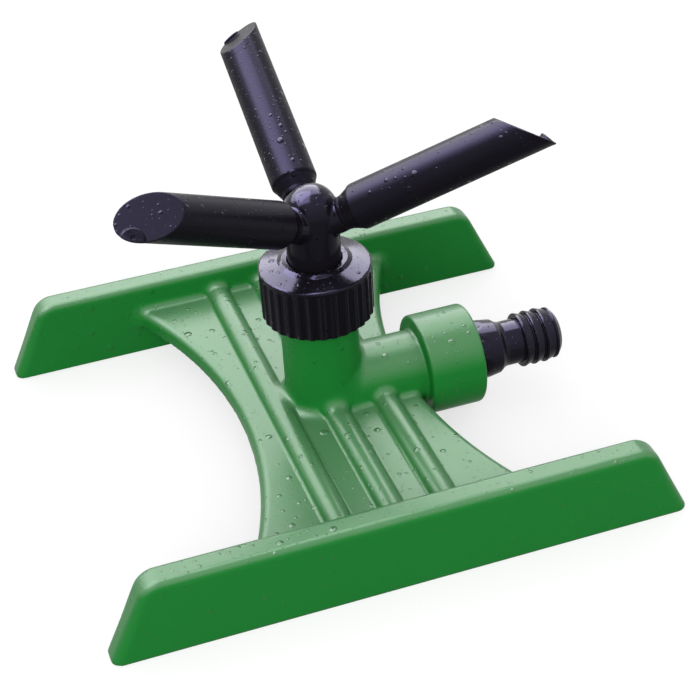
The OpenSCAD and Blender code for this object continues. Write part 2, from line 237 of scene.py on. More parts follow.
class SprinklerForms(bpy.types.PropertyGroup):
    """Sizes that the moulded forms take beside those of the solids."""

    deck_fillet: bpy.props.FloatProperty(
        name="Tower Fillet", description="Fillet where the tower stands on the deck", default=0.0045,
        min=0.001, max=0.008, subtype="DISTANCE", unit="LENGTH")
    pipe_fillet: bpy.props.FloatProperty(
        name="Pipe Fillet", description="Fillet between the inlet pipe and the deck", default=0.0026,
        min=0.0005, max=0.005, subtype="DISTANCE", unit="LENGTH")
    rib_fillet: bpy.props.FloatProperty(
        name="Rib Fillet", description="Fillet along the foot of each rib", default=0.0011,
        min=0.0003, max=0.003, subtype="DISTANCE", unit="LENGTH")
    edge_round: bpy.props.FloatProperty(
        name="Edge Round", description="Small rounding of the moulded edges", default=0.0008,
        min=0.0003, max=0.002, subtype="DISTANCE", unit="LENGTH")
    skin_step: bpy.props.FloatProperty(
        name="Skin Step", description="Spacing of the grid that the base is skinned on",
        default=0.00095, min=0.0005, max=0.003, subtype="DISTANCE", unit="LENGTH")


class SprinklerStudio(bpy.types.PropertyGroup):
    """Brightness of the lamps round the object."""

    sheen_glow: bpy.props.FloatProperty(
        name="Sheen Panel", description="Brightness of the two panels that only mirror in gloss",
        default=7.3, min=0, max=20)
    back_glow: bpy.props.FloatProperty(
        name="Back Panel", description="Brightness of the panel behind the sprinkler", default=0.6,
        min=0, max=20)
    top_glow: bpy.props.FloatProperty(
        name="Top Panel", description="Brightness of the panel overhead", default=0.2, min=0, max=20)
    front_glow: bpy.props.FloatProperty(
        name="Front Panel", description="Brightness of the panel in front, which doesn't mirror",
        default=4.0, min=0, max=20)
    room_glow: bpy.props.FloatProperty(
        name="Room", description="Brightness of the room around", default=0.76, min=0, max=2)


# Shape fields, in millimetres: below zero inside the form


def join(a, b, r):
    """Union of two fields with a fillet of radius r."""
    u = np.maximum(r - a, 0)
    v = np.maximum(r - b, 0)
    return np.maximum(r, np.minimum(a, b)) - np.sqrt(u * u + v * v)


def meet(a, b, r):
    """Intersection of two fields with its edge rounded by r."""
    u = np.maximum(r + a, 0)
    v = np.maximum(r + b, 0)
    return np.minimum(-r, np.maximum(a, b)) + np.sqrt(u * u + v * v)


def span(v, a, b):
    """Field of the slab from a to b."""
    return np.maximum(a - v, v - b)


def outline_field(px, py, points):
    """Signed distance to a closed outline."""
    near = np.full(px.shape, 1e9, dtype=px.dtype)
    inside = np.zeros(px.shape, dtype=bool)
    for (ax, ay), (bx, by) in zip(points, points[1:] + points[:1]):
        ex, ey = bx - ax, by - ay
        wx, wy = px - ax, py - ay
        t = np.clip((wx * ex + wy * ey) / (ex * ex + ey * ey), 0, 1)
        dx, dy = wx - ex * t, wy - ey * t
        near = np.minimum(near, dx * dx + dy * dy)
        if ey:
            crosses = (ay <= py) != (by <= py)
            inside ^= crosses & (px < ex * (py - ay) / ey + ax)
    return np.where(inside, -1, 1) * np.sqrt(near)


def sled_fields(p):
    """The two sleds, and the channel that hollows them from below."""
    x, y, z = p
    half_l, half_w = high("base")[0], high("base")[1]
    v = np.abs(y) - (half_w - SLED_W / 2)
    slope = np.maximum(z - SLED_LIP_H, 0) * math.tan(SLED_SLANT)
    end = (np.abs(x) - half_l + slope) * math.cos(SLED_SLANT)
    rise = np.clip((z - SLED_EDGE_Z) / SLED_EDGE_Z, 0, 1)
    edge = SLED_EDGE - SLED_EDGE_LESS * rise * rise * (3 - 2 * rise)
    sleds = meet(meet(z - SLED_H, end, SLED_CORNER), np.abs(v) - SLED_W / 2, edge)
    sleds = meet(sleds, -z, SOLE_EDGE)
    channel = np.maximum(np.abs(v) - CHANNEL_HALF, z - (SLED_H - CHANNEL_ROOF))
    return sleds, np.maximum(channel, end + CHANNEL_END)


def deck_field(p, forms):
    """The deck between the sleds with its three ribs, hollow below."""
    x, y, z = p
    half_w = high("base")[1]
    far = DECK_ARC_R + DECK_WAIST / 2
    plan = DECK_ARC_R - np.minimum(np.hypot(x - far, y), np.hypot(x + far, y))
    deck = meet(meet(plan, z - DECK_Z, DECK_EDGE), (DECK_Z - DECK_RIM_H) - z, DECK_RIM_EDGE)
    rib_r = (RIB_W * RIB_W / 4 + RIB_H * RIB_H) / (2 * RIB_H)
    for i in (-1, 0, 1):
        rib = np.hypot(x - i * RIB_PITCH, z - (DECK_Z + RIB_H - rib_r)) - rib_r
        deck = join(deck, np.maximum(rib, (DECK_Z - RIB_FOOT) - z), forms.rib_fillet / MM)
    deck = np.maximum(deck, np.abs(y) - (half_w - SLED_W / 2))
    hollow = np.maximum(plan + DECK_WALL, z - (DECK_Z - DECK_T))
    hollow = np.maximum(hollow, np.abs(y) - (half_w - SLED_W - DECK_WALL))
    return np.maximum(deck, -hollow)


def base_bores(p):
    """Thread bore, waterways and the seat of the bush."""
    x, y, z = p
    away = np.hypot(y, z - INLET_Z)
    axis = np.hypot(x, y)
    past = 80.0
    bush_lo, bush_hi = low("tower_bush"), high("tower_bush")
    return np.minimum.reduce((
        np.maximum(away - THREAD_R, span(x, THREAD_X, past)),
        np.maximum(away - WATERWAY_R, span(x, WATERWAY_BACK, WATERWAY_FRONT)),
        np.maximum(axis - TOWER_BORE_R, span(z, INLET_Z, past)),
        np.maximum(axis - BUSH_SEAT_R, span(z, bush_lo[2] - BUSH_GAP_LOW, past)),
        np.maximum(axis - (bush_hi[0] + BUSH_GAP), span(z, bush_hi[2] - BUSH_RECESS, past))))


def base_field(p, forms):
    """Sleds, deck, ribs, tower, pipe and collar of the base."""
    x, y, z = p
    edge = forms.edge_round / MM
    sleds, channel = sled_fields(p)
    away = np.hypot(y, z - INLET_Z)
    axis = np.hypot(x, y)
    tower = np.maximum(axis - TOWER_R, span(z, INLET_Z - TOWER_FOOT, high("cap_nut")[2] - TOWER_HEAD))
    neck = np.maximum(axis - NECK_R, span(z, low("cap_nut")[2] + NECK_STEP, low("nut_gasket")[2]))
    pipe = np.maximum(away - PIPE_R, span(x, 0.0, PIPE_L))
    collar = meet(away - COLLAR_R, span(x, COLLAR_BACK, COLLAR_X), edge + 0.3)
    body = join(deck_field(p, forms), tower, forms.deck_fillet / MM)
    body = join(body, pipe, forms.pipe_fillet / MM)
    body = join(body, collar, edge)
    body = np.minimum(body, neck)
    body = join(body, sleds, SLED_FILLET)
    body = np.maximum(body, -channel)
    return np.maximum(body, -base_bores(p))


def arm_matrix(i):
    """Place of arm i: X along the arm, Z on its upper side."""
    turn = Matrix.Rotation(ARM_TURN + i * math.tau / 3, 4, "Z") @ Matrix.Rotation(-ARM_CLIMB, 4, "Y")
    return Matrix.Translation((0, 0, ARM_Z)) @ turn


def stem_field(p, forms):
    """Stem with its dome and the three necks and spigots."""
    x, y, z = p
    foot = low("rotor_hub")[2]
    axis = np.hypot(x, y)
    dome_z = ARM_Z + DOME_RISE
    body = np.where(z > dome_z, np.hypot(axis, z - dome_z), axis) - STEM_R
    body = np.maximum(body, foot - z)
    for i in range(3):
        m = np.array(arm_matrix(i).inverted())
        s = m[0, 0] * x + m[0, 1] * y + m[0, 2] * z + m[0, 3]
        t = m[1, 0] * x + m[1, 1] * y + m[1, 2] * z + m[1, 3]
        u = m[2, 0] * x + m[2, 1] * y + m[2, 2] * z + m[2, 3]
        away = np.hypot(t, u)
        neck = meet(away - ARM_NECK_R, span(s, 0.0, SEAM_S - SEAM_GAP), ARM_EDGE)
        spigot = np.maximum(away - SPIGOT_R, span(s, 0.0, SPIGOT_S))
        groove = np.maximum(GROOVE_R - away, span(s, SHOULDER_S + GROOVE_FROM, SHOULDER_S + GROOVE_TO))
        body = join(body, neck, NECK_FILLET)
        body = np.minimum(body, np.maximum(spigot, -groove))
    shank = np.maximum(axis - SHANK_R, z - high("spindle")[2] - 0.05)
    return np.maximum(body, -shank)


def arm_side(s, away):
    """About the distance outside an arm's round side, at s along its axis."""
    r = np.interp(s, [SEAM_S, SEAM_S + 1.5, SHOULDER_S - 1.2, SHOULDER_S - 0.9, SHOULDER_S - 0.2, 92.0],
                  [ARM_NECK_R, 6.2, 7.75, 8.05, ARM_ROOT_R, ARM_END_R])
    return (away - r) * 0.93


def face_axes():
    """The end face's axes: towards its tip, across it and out of it."""
    turn = Matrix.Rotation(-FACE_TURN, 3, "X") @ Matrix.Rotation(math.pi / 2 - FACE_CUT, 3, "Y")
    return [np.array(turn.col[k]) for k in range(3)]


def arm_tube_field(p, forms):
    """Neck, shoulder and tube of an arm, which ends a little inside its end cap."""
    s, t, u = p
    n = face_axes()[2]
    over = (s - ARM_L) * n[0] + t * n[1] + u * n[2]
    away = np.hypot(t, u)
    under_cap = np.where(over > -CAP_T - CAP_SEAM_L, CAP_SEAM_IN, 0)
    body = np.maximum(arm_side(s, away) + under_cap, over + CAP_T - CAP_LAP)
    body = meet(body, SEAM_S + SEAM_GAP - s, ARM_EDGE)
    socket = np.maximum(away - SOCKET_R, s - SPIGOT_S - 0.4)
    bead = np.maximum(away - BEAD_R, span(s, SHOULDER_S + BEAD_FROM, SHOULDER_S + BEAD_TO))
    return np.maximum(body, -np.minimum(socket, bead))


def arm_end_field(p, forms):
    """Oblique end cap with the nozzle boss, which slopes down to the rim."""
    s, t, u = p
    along, across, n = face_axes()
    over = (s - ARM_L) * n[0] + t * n[1] + u * n[2]
    side = arm_side(s, np.hypot(t, u))
    cap = np.maximum(meet(side, over, ARM_EDGE), -(over + CAP_T))
    a = (s - ARM_L) * along[0] + t * along[1] + u * along[2]
    b = (s - ARM_L) * across[0] + t * across[1] + u * across[2]
    outward = BOSS_WAY[0] * a + BOSS_WAY[1] * b
    top = over - BOSS_H + BOSS_SLOPE * (outward - BOSS_IN)
    boss = meet(np.hypot(a - BOSS_AT[0], b - BOSS_AT[1]) - BOSS_R, top * 0.95, BOSS_EDGE)
    boss = meet(np.maximum(boss, -over - 1.0), side, ARM_EDGE)
    cap = join(cap, boss, ARM_EDGE)
    jet = np.hypot(a - JET_AT[0], b - JET_AT[1]) - JET_R
    return np.maximum(cap, -np.maximum(jet, -(top + JET_DEPTH)))


def nut_field(p, forms):
    """Fluted cap nut with its coned top and the raised ring round the stem."""
    x, y, z = p
    axis = np.hypot(x, y)
    foot, rim = low("cap_nut")[2], high("cap_nut")[2] - NUT_RING_H
    roof = rim - NUT_ROOF
    outline = [(NUT_BORE_R, foot + NUT_EDGE), (NUT_BORE_R + NUT_EDGE, foot),
               (NUT_R - NUT_EDGE, foot), (NUT_R, foot + NUT_EDGE),
               (NUT_R, rim - NUT_EDGE), (19.85, rim - 0.15), (19.5, rim + 0.08),
               (13.1, rim + 1.6), (12.3, rim + 2.15), (11.6, rim + NUT_RING_H),
               (9.8, rim + NUT_RING_H), (NUT_HOLE_R, rim + 2.3), (NUT_HOLE_R, roof), (NUT_BORE_R, roof)]
    body = outline_field(axis, z, outline)
    step = math.tau / FLUTES
    a = np.arctan2(y, x)
    a = a - np.round(a / step) * step
    runout = np.maximum(z - (rim - FLUTE_TOP), 0) * 0.9
    flute = np.hypot(np.hypot(axis * np.cos(a) - FLUTE_AWAY, axis * np.sin(a)), runout) - FLUTE_R
    return meet(body, -flute, FLUTE_EDGE)


def tail_field(p, forms):
    """Barbed hose tail with its thread and the spanner flats beside the collar."""
    x, y, z = p
    away = np.hypot(y, z - INLET_Z)
    back = low("inlet_nipple")[0]
    groove_x = COLLAR_X + 10.1
    barb_x = groove_x + 3.1 + 6.2
    points = [(back, TAIL_BORE_R), (back, TAIL_THREAD_R), (COLLAR_X - 0.5, TAIL_THREAD_R),
              (COLLAR_X - 0.5, TAIL_FACE_R), (COLLAR_X, TAIL_FACE_R), (COLLAR_X + 4.3, 11.15),
              (groove_x - 0.2, 10.3), (groove_x + 1.8, 8.9), (groove_x + 3.1, TAIL_NECK_R),
              (barb_x, TAIL_NECK_R)]
    for i in range(BARBS):
        b = barb_x + i * BARB_PITCH
        points += [(b + 0.15, 10.15), (b + 0.4, BARB_R), (b + 0.9, BARB_R), (b + 1.2, 10.15),
                   (b + BARB_PITCH, BARB_FOOT_R)]
    end = barb_x + BARBS * BARB_PITCH
    points += [(end + 0.15, 9.7), (end + 0.9, 9.75), (end + 1.9, 8.6), (end + 2.5, 7.9), (end + 2.9, 7.2),
               (end + 2.9, TAIL_BORE_R)]
    body = outline_field(x, away, points)
    step = math.tau / FLATS
    a = np.arctan2(z - INLET_Z, y)
    a = a - np.round(a / step) * step
    beside = (x > COLLAR_X - 0.2) & (x < groove_x + 1.0)
    flats = np.where(beside, away * np.cos(a) - FLATS_R, -9.0)
    return np.maximum(body, flats)


# Skinning a field


# Grid spacing for the small pieces, and half the width of the grid round an arm, in millimetres
TAIL_GRID = 0.36
NUT_GRID = 0.4
ROTOR_GRID = 0.45
CAP_GRID = 0.33
ARM_AROUND = 8.5


def crossed_cells(f):
    """The grid cells that the surface crosses, and a grid of their numbers."""
    inside = f < 0
    count = f.shape
    corners = np.zeros([n - 1 for n in count], dtype=np.int8)
    for i in (0, 1):
        for j in (0, 1):
            for k in (0, 1):
                corners += inside[i:count[0] - 1 + i, j:count[1] - 1 + j, k:count[2] - 1 + k]
    cells = np.argwhere((corners > 0) & (corners < 8))
    number = np.full(corners.shape, -1, dtype=np.int64)
    number[tuple(cells.T)] = np.arange(len(cells))
    return cells, number


def cell_middles(f, cells):
    """Mean place, in grid steps, of the points where the surface crosses each cell's edges."""
    total = np.zeros((len(cells), 3))
    hits = np.zeros(len(cells))
    for axis in range(3):
        b, c = [k for k in range(3) if k != axis]
        for db in (0, 1):
            for dc in (0, 1):
                q = cells.copy()
                q[:, b] += db
                q[:, c] += dc
                r = q.copy()
                r[:, axis] += 1
                f0, f1 = f[tuple(q.T)], f[tuple(r.T)]
                cross = (f0 < 0) != (f1 < 0)
                t = np.where(cross, f0 / np.where(cross, f0 - f1, 1), 0)
                at = np.zeros((len(cells), 3))
                at[:, axis], at[:, b], at[:, c] = t, db, dc
                total += at * cross[:, None]
                hits += cross
    return cells + total / hits[:, None]


def cell_quads(f, number):
    """A quad for each grid edge that the surface crosses, between the four cells round the edge."""
    inside = f < 0
    count = f.shape
    faces = []
    for axis in range(3):
        b, c = (axis + 1) % 3, (axis + 2) % 3
        first = [slice(None)] * 3
        second = [slice(None)] * 3
        first[axis], second[axis] = slice(0, -1), slice(1, None)
        s0, s1 = inside[tuple(first)], inside[tuple(second)]
        edges = np.argwhere(s0 != s1)
        ok = (edges[:, b] > 0) & (edges[:, b] < count[b] - 1)
        ok &= (edges[:, c] > 0) & (edges[:, c] < count[c] - 1)
        edges = edges[ok]
        flip = s0[tuple(edges.T)]
        quad = []
        for db, dc in ((-1, -1), (0, -1), (0, 0), (-1, 0)):
            q = edges.copy()
            q[:, b] += db
            q[:, c] += dc
            quad.append(number[tuple(q.T)])
        quad = np.stack(quad, axis=1)
        quad[~flip] = quad[~flip][:, ::-1]
        faces.append(quad)
    return np.concatenate(faces)


def field_slope(field, forms, at):
    """Gradient of a field at each point."""
    e = 0.03
    out = np.zeros_like(at)
    for k in range(3):
        up, down = at.copy(), at.copy()
        up[:, k] += e
        down[:, k] -= e
        out[:, k] = (field(up.T, forms) - field(down.T, forms)) / (2 * e)
    return out


def drawn_on(field, forms, points, step):
    """The points drawn onto the surface, by 0.8 of a step at most, and its normals there."""
    start = points.copy()
    for _ in range(3):
        g = field_slope(field, forms, points)
        size = np.maximum((g * g).sum(axis=1), 0.2)
        points = points - g * (field(points.T, forms) / size)[:, None]
        drift = points - start
        far = np.linalg.norm(drift, axis=1)
        points = start + drift * np.minimum(1, 0.8 * step / np.maximum(far, 1e-9))[:, None]
    g = field_slope(field, forms, points)
    return points, g / np.maximum(np.linalg.norm(g, axis=1), 1e-9)[:, None]


def smooth_object(name, points, normals, faces):
    """An object from quads, with points in millimetres and a normal for each point."""
    mesh = bpy.data.meshes.new(name)
    mesh.vertices.add(len(points))
    mesh.vertices.foreach_set("co", (points * MM).astype(np.float32).ravel())
    mesh.loops.add(faces.size)
    mesh.loops.foreach_set("vertex_index", faces.astype(np.int32).ravel())
    mesh.polygons.add(len(faces))
    mesh.polygons.foreach_set("loop_start", np.arange(0, faces.size, 4, dtype=np.int32))
    mesh.update(calc_edges=True)
    mesh.validate()
    mesh.polygons.foreach_set("use_smooth", np.ones(len(mesh.polygons), dtype=bool))
    mesh.normals_split_custom_set_from_vertices(normals.astype(np.float32).tolist())
    made = bpy.data.objects.new(name, mesh)
    bpy.context.scene.collection.objects.link(made)
    return made


def skin(name, field, forms, lo, hi, step, place=None):
    """Skins a field on a grid from lo to hi: one point in each cell that its surface crosses."""
    lo = np.array(lo, dtype=float) - 1.3 * step
    count = np.ceil((np.array(hi) + 1.3 * step - lo) / step).astype(int) + 1
    axes = [lo[k] + step * np.arange(count[k]) for k in range(3)]
    grid = np.meshgrid(*[a.astype(np.float32) for a in axes], indexing="ij")
    f = np.asarray(field(grid, forms), dtype=np.float32)
    cells, number = crossed_cells(f)
    points, normals = drawn_on(field, forms, lo + step * cell_middles(f, cells), step)
    if place is not None:
        m = np.array(place)
        points = points @ m[:3, :3].T + m[:3, 3]
        normals = normals @ m[:3, :3].T
    return smooth_object(name, points, normals, cell_quads(f, number))


# Materials


# Width of the drops in each layer, as shares of the largest
DROP_SHARES = (1.0, 0.5, 0.24)
# A drop layer: the size of its cells for a given width, how strongly the drops gather in patches,
# how many more lie on faces turned up, and the least and the added reach of a drop in its cell
DROP_CELL = 1.75
DROP_GATHER = 2.6
DROP_UPWARD = 0.4
DROP_LEAST = 0.09
DROP_MORE = 0.19
# Height of a drop against its cell, the height in millimetres from which water counts as wet,
# and what water does to the roughness and the gloss
DROP_HEIGHT = 0.34
WET_HEIGHT = 0.025
WATER_ROUGHNESS = 0.04
WATER_SHINE = 0.3
# The moulding's fine grain and soft swell in millimetres, and how far the grain varies the roughness
GRAIN_HEIGHT = 0.004
SWELL_HEIGHT = 0.05
GRAIN_ROUGHNESS = 0.08
# What sets the wet finishes apart. The beads are the extra cover of each layer of drops.
WET_LOOKS = {
    "wet_green_plastic": dict(
        tint=(1.0, 0.98, 0.95), level=0.22, rim=0.5, mottle=0.06, beads=(0.0, 0.1, 0.2)),
    "wet_black_plastic": dict(
        tint=(0.63, 0.59, 1.0), level=0.32, rim=0.2, mottle=0.2, beads=(0.0, 0.1, 0.12)),
    "wet_arm_plastic": dict(
        tint=(0.6, 0.56, 1.0), level=0.15, rim=0.1, mottle=0.2, beads=(0.06, 0.3, 0.5)),
}
# How much rougher the arms are than the other black pieces
ARM_DULLER = 0.16
# The colour of the painted sheen on faces turned up, and the colours of the dry finishes
PAINTED_SHEEN_COLOUR = (0.56, 0.6, 0.57)
RUBBER_COLOUR = (0.02, 0.02, 0.021)
BEARING_COLOUR = (0.72, 0.71, 0.66)


def knot(tree, kind, x, y, **sockets):
    """Adds a node at x, y and sets its unlinked sockets by name."""
    node = tree.nodes.new(kind)
    node.location = (x, y)
    for key, value in sockets.items():
        node.inputs[key.replace("_", " ")].default_value = value
    return node


def math_knot(tree, operation, x, y, first, second=None, clamp=False):
    """A Math node fed by sockets or numbers."""
    node = tree.nodes.new("ShaderNodeMath")
    node.operation = operation
    node.use_clamp = clamp
    node.location = (x, y)
    for k, value in enumerate((first, second)):
        if value is None:
            continue
        if isinstance(value, (int, float)):
            node.inputs[k].default_value = value
        else:
            tree.links.new(value, node.inputs[k])
    return node.outputs[0]


def drop_layer(tree, place, up, width, cover, seed, x, y):
    """Height of a scatter of round drops, in cells, and the size of a cell.

    The noise gathers the drops in patches, and faces turned up carry more of them.
    """
    cell = width * DROP_CELL
    shifted = knot(tree, "ShaderNodeVectorMath", x, y)
    shifted.operation = "ADD"
    shifted.inputs[1].default_value = (seed, seed * 0.37, -seed * 0.61)
    tree.links.new(place, shifted.inputs[0])
    cells = knot(tree, "ShaderNodeTexVoronoi", x + 180, y)
    cells.inputs["Scale"].default_value = 1 / cell
    cells.inputs["Randomness"].default_value = 0.9
    tree.links.new(shifted.outputs[0], cells.inputs["Vector"])
    chance = knot(tree, "ShaderNodeSeparateColor", x + 360, y - 160)
    tree.links.new(cells.outputs["Color"], chance.inputs["Color"])
    patch = knot(tree, "ShaderNodeTexNoise", x + 180, y - 300)
    patch.inputs["Scale"].default_value = 0.09 / cell
    patch.inputs["Detail"].default_value = 1.0
    tree.links.new(shifted.outputs[0], patch.inputs["Vector"])
    limit = math_knot(tree, "MULTIPLY_ADD", x + 360, y - 320, patch.outputs["Fac"], DROP_GATHER)
    limit.node.inputs[2].default_value = cover - DROP_GATHER / 2
    upward = math_knot(tree, "MULTIPLY", x + 360, y - 520, up, DROP_UPWARD)
    limit = math_knot(tree, "ADD", x + 450, y - 420, limit, upward)
    shown = math_knot(tree, "LESS_THAN", x + 540, y - 240, chance.outputs["Red"], limit)
    even = math_knot(tree, "POWER", x + 450, y - 80, chance.outputs["Green"], 1.6)
    size = math_knot(tree, "MULTIPLY_ADD", x + 540, y - 80, even, DROP_MORE)
    size.node.inputs[2].default_value = DROP_LEAST
    reach = math_knot(tree, "DIVIDE", x + 720, y, cells.outputs["Distance"], size)
    square = math_knot(tree, "MULTIPLY", x + 900, y, reach, reach)
    left = math_knot(tree, "SUBTRACT", x + 1080, y, 1.0, square, clamp=True)
    dome = math_knot(tree, "POWER", x + 1260, y, left, 0.8)
    tall = math_knot(tree, "MULTIPLY", x + 1440, y, dome, size)
    return math_knot(tree, "MULTIPLY", x + 1620, y, tall, shown), cell


def new_finish(name, x):
    """A material whose tree holds only its output and its shader, which stands at x."""
    made = bpy.data.materials.new(name)
    made.use_nodes = True
    tree = made.node_tree
    tree.nodes.clear()
    out = knot(tree, "ShaderNodeOutputMaterial", x + 300, 0)
    shader = knot(tree, "ShaderNodeBsdfPrincipled", x, 0)
    tree.links.new(shader.outputs[0], out.inputs["Surface"])
    return made, tree, shader


def uneven_tone(tree, colour, spread, noise, x, y):
    """The colour as a noise varies it, lighter and darker by the share spread."""
    tone = knot(tree, "ShaderNodeMix", x, y)
    tone.data_type = "RGBA"
    tone.inputs[6].default_value = (*[c * (1 - spread) for c in colour], 1)
    tone.inputs[7].default_value = (*[c * (1 + spread) for c in colour], 1)
    tree.links.new(noise.outputs["Fac"], tone.inputs[0])
    return tone.outputs[2]


def turned_gloss(tree, up, level, rim):
    """Specular level: full on faces turned up, low on others, times the share rim at grazing angles."""
    gloss = knot(tree, "ShaderNodeMapRange", 1900, 500, From_Max=0.7, To_Min=level * 0.15, To_Max=level)
    tree.links.new(up, gloss.inputs["Value"])
    edge_on = knot(tree, "ShaderNodeLayerWeight", 1700, 550, Blend=0.5)
    edge = knot(tree, "ShaderNodeMapRange", 1900, 700, From_Min=0.6, From_Max=0.95, To_Min=1, To_Max=rim)
    tree.links.new(edge_on.outputs["Facing"], edge.inputs["Value"])
    return math_knot(tree, "MULTIPLY", 2100, 500, gloss.outputs[0], edge.outputs[0])


def water_height(tree, where, up, plastic, beads):
    """Height of the water drops in millimetres: the tallest of the three layers."""
    water = None
    for k, share in enumerate(DROP_SHARES):
        cover = plastic.drop_cover + beads[k]
        layer, cell = drop_layer(tree, where, up, plastic.drop_size * share, cover,
                                 0.31 + 0.46 * k, -600, 1400 - 700 * k)
        layer = math_knot(tree, "MULTIPLY", 1300, 1400 - 700 * k, layer, cell * DROP_HEIGHT / MM)
        water = layer if water is None else math_knot(tree, "MAXIMUM", 1500, 900 - 300 * k, water, layer)
    return water


def with_painted_sheen(tree, tone, up, shade, painted_top_sheen):
    """The tone with a painted sheen: a pale colour on the faces turned up, in patches, in place of the pale
    reflection on the tops.
    """
    above = knot(tree, "ShaderNodeMapRange", 1700, 1150, From_Min=0.3, From_Max=0.8, To_Max=painted_top_sheen)
    above.interpolation_type = "SMOOTHSTEP"
    tree.links.new(up, above.inputs["Value"])
    uneven = math_knot(tree, "MULTIPLY_ADD", 1900, 1000, shade.outputs["Fac"], 0.8)
    uneven.node.inputs[2].default_value = 0.6
    # Share of the painted sheen: full on faces turned up, uneven in patches
    painted_sheen_share = math_knot(tree, "MULTIPLY", 2100, 1100, above.outputs[0], uneven)
    pale = knot(tree, "ShaderNodeMix", 2300, 800)
    pale.data_type = "RGBA"
    pale.inputs[7].default_value = (*PAINTED_SHEEN_COLOUR, 1)
    tree.links.new(painted_sheen_share, pale.inputs[0])
    tree.links.new(tone, pale.inputs[6])
    return pale.outputs[2]


def wet_plastic(name, colour, roughness, plastic, painted_top_sheen, tint, level, rim, mottle, beads):
    """Glossy moulded plastic with a fine moulding grain and water drops."""
    made, tree, shader = new_finish(name, 2600)
    shader.inputs["Specular Tint"].default_value = (*tint, 1)
    where = knot(tree, "ShaderNodeTexCoord", -1200, 0).outputs["Object"]
    facing = knot(tree, "ShaderNodeSeparateXYZ", -1000, -300)
    tree.links.new(knot(tree, "ShaderNodeNewGeometry", -1200, -300).outputs["Normal"], facing.inputs[0])
    up = facing.outputs["Z"]
    gloss = turned_gloss(tree, up, level, rim)
    water = water_height(tree, where, up, plastic, beads)

    grain = knot(tree, "ShaderNodeTexNoise", 1100, -400, Scale=900.0, Detail=3.0, Roughness=0.55)
    tree.links.new(where, grain.inputs["Vector"])
    swell = knot(tree, "ShaderNodeTexNoise", 1100, -650, Scale=55.0, Detail=2.0)
    tree.links.new(where, swell.inputs["Vector"])
    fine = math_knot(tree, "MULTIPLY", 1300, -400, grain.outputs["Fac"], GRAIN_HEIGHT)
    soft = math_knot(tree, "MULTIPLY", 1300, -650, swell.outputs["Fac"], SWELL_HEIGHT)
    skin_mm = math_knot(tree, "ADD", 1500, -500, fine, soft)
    total = math_knot(tree, "ADD", 1700, 0, water, skin_mm)
    bump = knot(tree, "ShaderNodeBump", 2300, -300, Strength=1.0, Distance=MM)
    tree.links.new(total, bump.inputs["Height"])
    tree.links.new(bump.outputs[0], shader.inputs["Normal"])

    wet = math_knot(tree, "MULTIPLY", 1700, 300, water, 1 / WET_HEIGHT, clamp=True)
    dull = math_knot(tree, "MULTIPLY_ADD", 1900, -150, grain.outputs["Fac"], GRAIN_ROUGHNESS)
    dull.node.inputs[2].default_value = roughness - GRAIN_ROUGHNESS / 2
    rough = knot(tree, "ShaderNodeMix", 2100, 200)
    rough.data_type = "FLOAT"
    rough.inputs[3].default_value = WATER_ROUGHNESS
    tree.links.new(wet, rough.inputs[0])
    tree.links.new(dull, rough.inputs[2])
    tree.links.new(rough.outputs[0], shader.inputs["Roughness"])
    shine = math_knot(tree, "MULTIPLY_ADD", 2200, 600, wet, WATER_SHINE)
    shine.node.inputs[2].default_value = 1.0
    tree.links.new(math_knot(tree, "MULTIPLY", 2400, 500, gloss, shine), shader.inputs["Specular IOR Level"])

    shade = knot(tree, "ShaderNodeTexNoise", 1700, 800, Scale=24.0, Detail=4.0, Roughness=0.6)
    tree.links.new(where, shade.inputs["Vector"])
    tone = uneven_tone(tree, colour, mottle, shade, 2100, 800)
    # Painted sheen: the faces turned up are paled by colour, not by light
    if painted_top_sheen:
        tone = with_painted_sheen(tree, tone, up, shade, painted_top_sheen)
    tree.links.new(tone, shader.inputs["Base Color"])
    return made


def plain_finish(name, colour, roughness, grain_scale, grain_depth):
    """Seal rubber and bearing plastic: matte, with a fine grain."""
    made, tree, shader = new_finish(name, 600)
    where = knot(tree, "ShaderNodeTexCoord", -600, 0).outputs["Object"]
    grain = knot(tree, "ShaderNodeTexNoise", -300, 0, Scale=grain_scale, Detail=4.0)
    tree.links.new(where, grain.inputs["Vector"])
    bump = knot(tree, "ShaderNodeBump", 300, -300, Strength=0.6, Distance=grain_depth)
    tree.links.new(grain.outputs["Fac"], bump.inputs["Height"])
    tree.links.new(bump.outputs[0], shader.inputs["Normal"])
    rough = math_knot(tree, "MULTIPLY_ADD", 100, -100, grain.outputs["Fac"], 0.15)
    rough.node.inputs[2].default_value = roughness - 0.07
    tree.links.new(rough, shader.inputs["Roughness"])
    tone = uneven_tone(tree, colour, 0.15, grain, 300, 200)
    tree.links.new(tone, shader.inputs["Base Color"])
    return made


def finish_named(name):
    """The finish of that name, made once."""
    if name in bpy.data.materials:
        return bpy.data.materials[name]
    plastic = bpy.context.scene.sprinkler_plastic
    green, black = plastic.green_roughness, plastic.black_roughness
    if name == "wet_green_plastic":
        return wet_plastic(name, plastic.base_green, green, plastic, plastic.painted_top_sheen, **WET_LOOKS[name])
    if name == "wet_black_plastic":
        return wet_plastic(name, plastic.part_black, black, plastic, 0.0, **WET_LOOKS[name])
    if name == "wet_arm_plastic":
        return wet_plastic(name, plastic.part_black, black + ARM_DULLER, plastic, 0.0, **WET_LOOKS[name])
    if name == "seal_rubber_finish":
        return plain_finish(name, RUBBER_COLOUR, 0.62, 1800.0, 0.00004)
    return plain_finish(name, BEARING_COLOUR, 0.4, 900.0, 0.00002)


def dress(piece, name):
    """Gives a piece or node one finish."""
    piece.data.materials.clear()
    piece.data.materials.append(finish_named(name))


def fitted(piece, body, slot, finish, *nodes):
    """Attaches a piece to its body, hides the nodes it stands for and gives it its finish. The slot is not
    used.
    """
    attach(piece, body)
    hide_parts(*nodes)
    dress(piece, finish)


# The pieces


